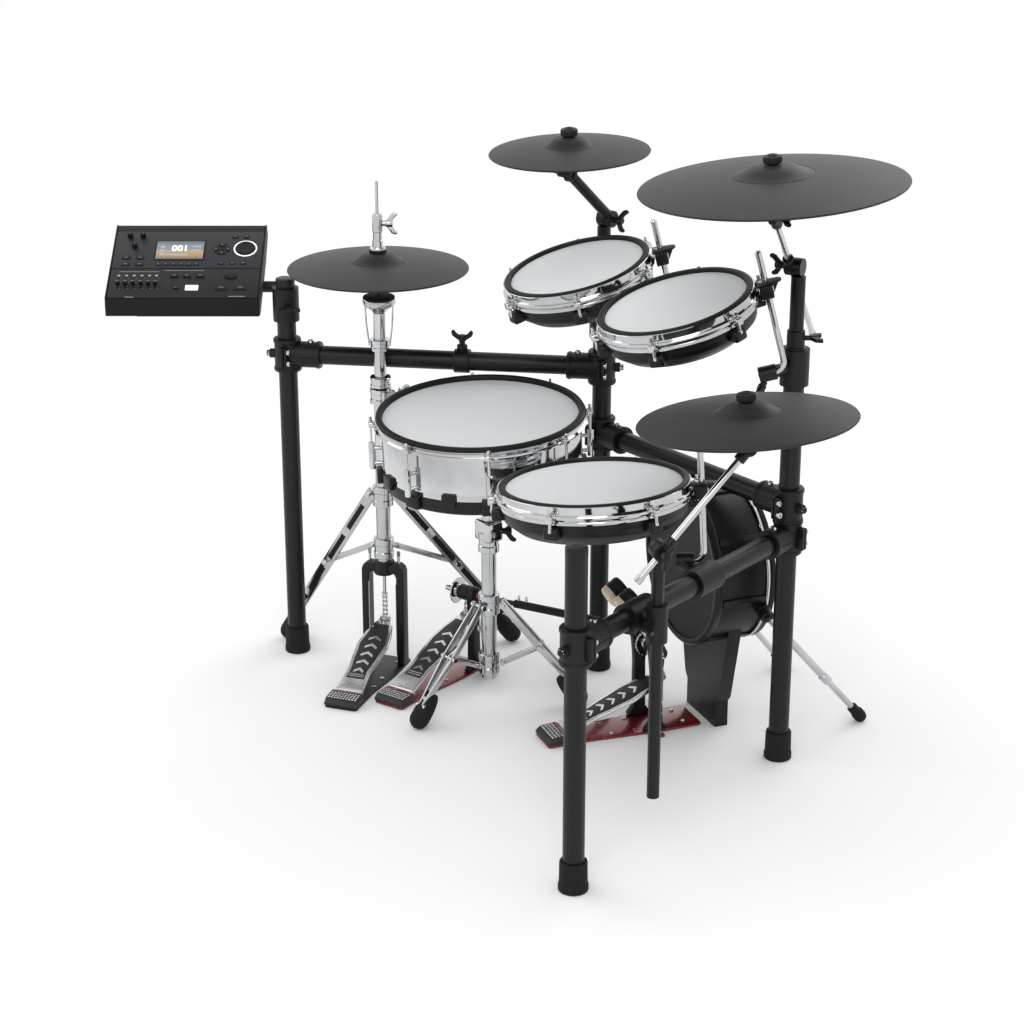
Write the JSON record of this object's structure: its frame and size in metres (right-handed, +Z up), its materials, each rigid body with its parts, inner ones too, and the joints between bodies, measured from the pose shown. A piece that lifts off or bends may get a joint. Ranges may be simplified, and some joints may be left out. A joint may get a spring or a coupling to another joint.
{
  "type": "electronic drum kit",
  "caption": "Electronic drum kit on a tubular rack: four mesh pads, four rubber cymbals, kick pad, twin pedal and sound module.",
  "frame": {"origin": "middle of the kit's footprint on the floor", "axes": "+X to the player's right along the rack's length, +Y to the front away from the player, +Z up"},
  "size_m": [1.6865, 0.9921, 1.1358],
  "materials": {
    "satin_black": "satin",
    "black_rubber": "matte",
    "black_plastic": "matte",
    "dark_plastic": "satin",
    "chrome": "polished",
    "steel": "brushed",
    "mesh_head": "matte",
    "red_paint": "gloss",
    "board_alloy": "satin",
    "screen": "gloss"
  },
  "bodies": {
    "stand": {"rack_uprights": "satin_black", "rack_crossbars": "satin_black", "rack_clamps": "black_plastic", "clamp_wing_bolts": "chrome", "rubber_feet": "black_rubber", "cymbal_pipes": "satin_black", "module_arm": "satin_black", "hihat_stand_tube": "chrome", "hihat_pedal_frame": "satin_black", "tripod_legs": "chrome", "snare_stand_tube": "chrome", "snare_basket": "chrome", "snare_shell": "chrome", "snare_hoop": "chrome", "snare_rim": "black_rubber", "snare_head": "mesh_head", "snare_lugs": "chrome", "kick_shell": "black_plastic", "kick_head": "black_rubber", "kick_stand": "satin_black", "pedal_bases": "red_paint", "pedal_frames": "satin_black", "pedal_springs": "steel", "pedal_chains": "steel"},
    "module": {"module_case": "dark_plastic", "module_panel": "dark_plastic", "module_screen": "screen"},
    "keys": {"module_keys": "dark_plastic"},
    "faders": {"module_faders": "dark_plastic"},
    "dial": {"module_dial": "black_rubber"},
    "knob_left": {"module_knob_left": "black_rubber"},
    "knob_right": {"module_knob_right": "black_rubber"},
    "knob_low": {"module_knob_low": "black_rubber"},
    "hihat_rod": {"hihat_pull_rod": "chrome", "hihat_clutch": "chrome", "hihat_cymbal": "black_rubber"},
    "hihat_board": {"hihat_footboard": "board_alloy"},
    "tom_left": {"tom_left_shell": "black_plastic", "tom_left_head": "mesh_head", "tom_left_hoop": "chrome"},
    "tom_right": {"tom_right_shell": "black_plastic", "tom_right_head": "mesh_head", "tom_right_hoop": "chrome"},
    "floor_tom": {"floor_tom_shell": "black_plastic", "floor_tom_head": "mesh_head", "floor_tom_hoop": "chrome"},
    "crash_left_arm": {"crash_left_tilter": "black_plastic"},
    "crash_left": {"crash_left_cymbal": "black_rubber"},
    "ride_arm": {"ride_boom": "black_plastic"},
    "ride": {"ride_cymbal": "black_rubber"},
    "crash_right_arm": {"crash_right_boom": "black_plastic"},
    "crash_right": {"crash_right_cymbal": "black_rubber"},
    "spur_right": {"kick_spur_right": "chrome"},
    "spur_left": {"kick_spur_left": "chrome"},
    "right_beater": {"right_beater": "chrome"},
    "main_board": {"main_footboard": "board_alloy"},
    "left_beater": {"left_beater": "chrome"},
    "slave_board": {"slave_footboard": "board_alloy"},
    "cam": {"slave_cam": "chrome"},
    "shaft": {"drive_shaft": "satin_black"}
  },
  "joints": [
    {"name": "module_tilt", "type": "hinge", "parent": "stand", "child": "module", "pos_m": [-0.68679, -0.30321, 0.7157], "axis": [0.6198, 0.7848, 0], "range_deg": [-12, 12]},
    {"name": "module_keys_press", "type": "slide", "parent": "module", "child": "keys", "axis": [-0.3572, 0.2821, -0.8904], "range_m": [0, 0.001], "stiffness_N_per_m": 800},
    {"name": "module_faders_move", "type": "slide", "parent": "module", "child": "faders", "axis": [-0.6988, 0.5519, 0.4552], "range_m": [-0.012, 0.012]},
    {"name": "module_dial_turn", "type": "hinge", "parent": "module", "child": "dial", "pos_m": [-0.6195, -0.21615, 0.79109], "axis": [0.3572, -0.2821, 0.8904], "continuous": true},
    {"name": "module_knob_left_turn", "type": "hinge", "parent": "module", "child": "knob_left", "pos_m": [-0.78273, -0.37512, 0.80619], "axis": [0.3572, -0.2821, 0.8904], "range_deg": [-140, 140]},
    {"name": "module_knob_right_turn", "type": "hinge", "parent": "module", "child": "knob_right", "pos_m": [-0.76727, -0.35555, 0.8062], "axis": [0.3572, -0.2821, 0.8904], "range_deg": [-140, 140]},
    {"name": "module_knob_low_turn", "type": "hinge", "parent": "module", "child": "knob_low", "pos_m": [-0.7545, -0.38246, 0.79255], "axis": [0.3572, -0.2821, 0.8904], "range_deg": [-140, 140]},
    {"name": "hihat_pull", "type": "slide", "parent": "stand", "child": "hihat_rod", "axis": [0, 0, 1], "range_m": [-0.012, 0], "stiffness_N_per_m": 12000, "deforming": ["pedal_chains"]},
    {"name": "hihat_pedal", "type": "hinge", "parent": "stand", "child": "hihat_board", "pos_m": [-0.20709, -0.27964, 0.019], "axis": [-0.8468, -0.5319, 0], "range_deg": [0, 14], "deforming": ["pedal_chains"]},
    {"name": "tom_left_tilt", "type": "hinge", "parent": "stand", "child": "tom_left", "pos_m": [0.14842, 0.183, 0.70727], "axis": [0.6482, 0.7214, 0.2437], "range_deg": [-3, 10]},
    {"name": "tom_right_tilt", "type": "hinge", "parent": "stand", "child": "tom_right", "pos_m": [0.47319, 0.12319, 0.73779], "axis": [0.6459, 0.7189, 0.2569], "range_deg": [-10, 6]},
    {"name": "floor_tom_tilt", "type": "hinge", "parent": "stand", "child": "floor_tom", "pos_m": [0.48629, -0.06436, 0.4501], "axis": [0.7262, 0.6838, 0.0711], "range_deg": [-10, 10]},
    {"name": "crash_left_tilter_tilt", "type": "hinge", "parent": "stand", "child": "crash_left_arm", "pos_m": [-0.031, 0.192, 0.902], "axis": [0.9766, 0.2152, 0], "range_deg": [-12, 12]},
    {"name": "crash_left_cymbal_rock", "type": "hinge", "parent": "crash_left_arm", "child": "crash_left", "pos_m": [-0.00903, 0.0888, 1.06497], "axis": [0, 1, 0], "range_deg": [-6, 6], "stiffness_Nm_per_rad": 6},
    {"name": "ride_boom_tilt", "type": "hinge", "parent": "stand", "child": "ride_arm", "pos_m": [0.472, 0.192, 0.911], "axis": [-0.913, -0.408, 0], "range_deg": [-10, 10]},
    {"name": "ride_cymbal_rock", "type": "hinge", "parent": "ride_arm", "child": "ride", "pos_m": [0.51883, 0.07482, 1.10541], "axis": [0, 1, 0], "range_deg": [-6, 6], "stiffness_Nm_per_rad": 8},
    {"name": "crash_right_boom_tilt", "type": "hinge", "parent": "stand", "child": "crash_right_arm", "pos_m": [0.622, -0.245, 0.556], "axis": [0.922, -0.3872, 0], "range_deg": [-10, 4]},
    {"name": "crash_right_cymbal_rock", "type": "hinge", "parent": "crash_right_arm", "child": "crash_right", "pos_m": [0.67123, -0.11276, 0.78185], "axis": [0, 1, 0], "range_deg": [-6, 6], "stiffness_Nm_per_rad": 6},
    {"name": "spur_right_fold", "type": "hinge", "parent": "stand", "child": "spur_right", "pos_m": [0.39589, 0.21126, 0.26286], "axis": [0.8989, -0.2702, -0.3448], "range_deg": [0, 40]},
    {"name": "spur_left_fold", "type": "hinge", "parent": "stand", "child": "spur_left", "pos_m": [0.13969, 0.28828, 0.26286], "axis": [0.8989, -0.2702, 0.3448], "range_deg": [0, 40]},
    {"name": "right_beater_swing", "type": "hinge", "parent": "stand", "child": "right_beater", "pos_m": [0.22144, 0.09608, 0.165], "axis": [-0.9577, 0.2879, 0], "range_deg": [0, 45], "stiffness_Nm_per_rad": 6, "deforming": ["pedal_springs"]},
    {"name": "main_pedal", "type": "hinge", "parent": "stand", "child": "main_board", "pos_m": [0.17402, -0.06165, 0.019], "axis": [-0.9577, 0.2879, 0], "range_deg": [0, 14], "deforming": ["pedal_chains"]},
    {"name": "left_beater_swing", "type": "hinge", "parent": "stand", "child": "left_beater", "pos_m": [0.22144, 0.09608, 0.165], "axis": [-0.9577, 0.2879, 0], "range_deg": [0, 45], "stiffness_Nm_per_rad": 6, "deforming": ["pedal_springs"]},
    {"name": "slave_pedal", "type": "hinge", "parent": "stand", "child": "slave_board", "pos_m": [-0.15078, -0.19554, 0.019], "axis": [-0.9594, -0.2821, 0], "range_deg": [0, 14], "deforming": ["pedal_chains"]},
    {"name": "slave_cam_turn", "type": "hinge", "parent": "stand", "child": "cam", "pos_m": [-0.20147, -0.02314, 0.163], "axis": [-0.9594, -0.2821, 0], "range_deg": [0, 45]},
    {"name": "drive_shaft_turn", "type": "hinge", "parent": "stand", "child": "shaft", "pos_m": [-0.14391, -0.00621, 0.163], "axis": [0.9221, 0.387, 0.0063], "range_deg": [-45, 0]}
  ],
  "couplings": [
    {"joint": "hihat_pedal", "follows": "hihat_pull", "rad_per_m": -20.358},
    {"joint": "main_pedal", "follows": "right_beater_swing", "ratio": 0.311},
    {"joint": "slave_pedal", "follows": "left_beater_swing", "ratio": 0.311},
    {"joint": "slave_cam_turn", "follows": "left_beater_swing", "ratio": 1},
    {"joint": "drive_shaft_turn", "follows": "left_beater_swing", "ratio": -1}
  ]
}
